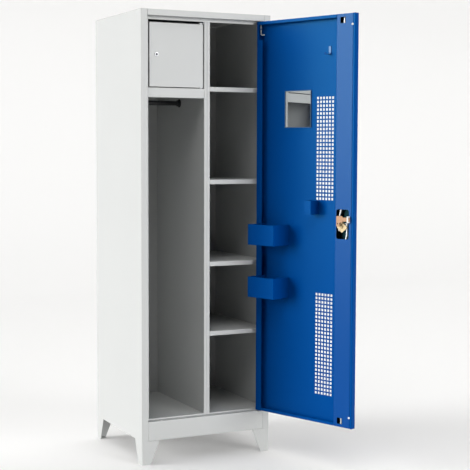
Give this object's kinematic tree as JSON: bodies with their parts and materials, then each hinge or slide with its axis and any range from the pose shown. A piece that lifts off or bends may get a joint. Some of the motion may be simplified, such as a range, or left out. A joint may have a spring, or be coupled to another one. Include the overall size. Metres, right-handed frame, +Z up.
{
  "type": "single-door clothes locker",
  "caption": "Folded steel clothes locker on pressed legs, with a lockable compartment, hanging space, shelves and a perforated door with a rod lock.",
  "frame": {"origin": "on the floor, under the middle of the whole object's box with its door open 110 degrees", "axes": "+Z up, the front of the cabinet faces -Y, +X to the right of someone who faces the front"},
  "size_m": [0.7506, 1.0404, 1.9],
  "materials": {
    "grey_paint": "light grey powder coat, satin, faint orange peel",
    "blue_paint": "gentian blue powder coat, satin, faint orange peel",
    "black_plastic": "black moulded plastic, satin",
    "bright_steel": "bright zinc plated steel",
    "yellow_zinc": "yellow passivated zinc plate",
    "bronze_zinc": "copper tinted passivated zinc plate",
    "white_nylon": "natural white nylon",
    "mirror": "silvered glass",
    "chrome": "polished chrome"
  },
  "bodies": {
    "cabinet": {"left_side_panel": "grey_paint", "right_side_panel": "grey_paint", "partition_left_skin": "grey_paint", "partition_right_skin": "grey_paint", "front_left_leg": "grey_paint", "front_right_leg": "grey_paint", "rear_left_leg": "grey_paint", "rear_right_leg": "grey_paint", "top_panel": "grey_paint", "back_panel": "grey_paint", "front_plinth_rail": "grey_paint", "floor_panel": "grey_paint", "floor_rear_rail": "grey_paint", "compartment_floor": "grey_paint", "shelf_1": "grey_paint", "shelf_2": "grey_paint", "shelf_3": "grey_paint", "shelf_4": "grey_paint", "clothes_rail": "black_plastic", "rail_socket_left": "black_plastic", "rail_socket_right": "black_plastic", "hinge_bush_upper": "white_nylon", "hinge_pin_lower": "bright_steel", "hinge_washer_lower": "white_nylon", "compartment_pin_lower": "bright_steel", "compartment_pin_upper": "bright_steel", "compartment_hinge_bracket": "grey_paint", "compartment_strike": "bright_steel"},
    "main_door": {"door_panel": "blue_paint", "door_lock_channel": "blue_paint", "bumper_upper": "white_nylon", "bumper_lower": "white_nylon", "mirror_frame": "chrome", "mirror_glass": "mirror", "bottle_holder_lower": "blue_paint", "bottle_holder_upper": "blue_paint", "comb_holder": "blue_paint", "towel_hook": "blue_paint", "hinge_pin_guide": "blue_paint", "lock_escutcheon": "bright_steel", "lock_nut": "bright_steel", "centre_bolt_guide": "white_nylon", "rod_guide_upper": "white_nylon", "rod_guide_lower": "white_nylon"},
    "hinge_pin": {"hinge_pin_upper": "bright_steel"},
    "main_lock": {"lock_knob": "black_plastic", "lock_spindle": "bright_steel", "lock_cam": "yellow_zinc", "lock_cam_screw": "bright_steel"},
    "main_key": {"lock_key_cylinder": "chrome"},
    "upper_rod": {"lock_rod_upper": "bright_steel"},
    "lower_rod": {"lock_rod_lower": "bright_steel"},
    "centre_bolt": {"lock_centre_bolt": "bronze_zinc"},
    "small_door": {"compartment_door": "grey_paint", "compartment_lock_body": "chrome", "compartment_lock_nut": "bright_steel"},
    "small_lock": {"compartment_lock_plug": "chrome", "compartment_lock_cam": "bright_steel", "compartment_cam_screw": "bright_steel"}
  },
  "joints": [
    {"name": "main_door_hinge", "type": "hinge", "parent": "cabinet", "child": "main_door", "pos_m": [0.18267, -0.02185, 1.0285], "axis": [0, 0, 1], "range_deg": [-110, 0]},
    {"name": "hinge_pin_slide", "type": "slide", "parent": "main_door", "child": "hinge_pin", "axis": [0, 0, -1], "range_m": [0, 0.016]},
    {"name": "main_lock_turn", "type": "hinge", "parent": "main_door", "child": "main_lock", "pos_m": [0.33632, -0.45863, 1.01], "axis": [0.9397, 0.342, 0], "range_deg": [0, 90]},
    {"name": "main_key_turn", "type": "hinge", "parent": "main_lock", "child": "main_key", "pos_m": [0.33632, -0.45863, 1.01], "axis": [0.9397, 0.342, 0], "range_deg": [0, 90]},
    {"name": "upper_rod_slide", "type": "slide", "parent": "main_door", "child": "upper_rod", "axis": [0, 0, 1], "range_m": [0, 0.0198]},
    {"name": "lower_rod_slide", "type": "slide", "parent": "main_door", "child": "lower_rod", "axis": [0, 0, -1], "range_m": [0, 0.0198]},
    {"name": "centre_bolt_slide", "type": "slide", "parent": "main_door", "child": "centre_bolt", "axis": [0.342, -0.9397, 0], "range_m": [0, 0.0198]},
    {"name": "small_door_hinge", "type": "hinge", "parent": "cabinet", "child": "small_door", "pos_m": [-0.08883, 0.01015, 1.7175], "axis": [0, 0, 1], "range_deg": [0, 105]},
    {"name": "small_lock_turn", "type": "hinge", "parent": "small_door", "child": "small_lock", "pos_m": [-0.29333, 0.00215, 1.718], "axis": [0, -1, 0], "range_deg": [0, 90]}
  ],
  "couplings": [
    {"joint": "main_lock_turn", "follows": "upper_rod_slide", "rad_per_m": 79.33},
    {"joint": "lower_rod_slide", "follows": "upper_rod_slide", "ratio": 1},
    {"joint": "centre_bolt_slide", "follows": "upper_rod_slide", "ratio": 1}
  ]
}
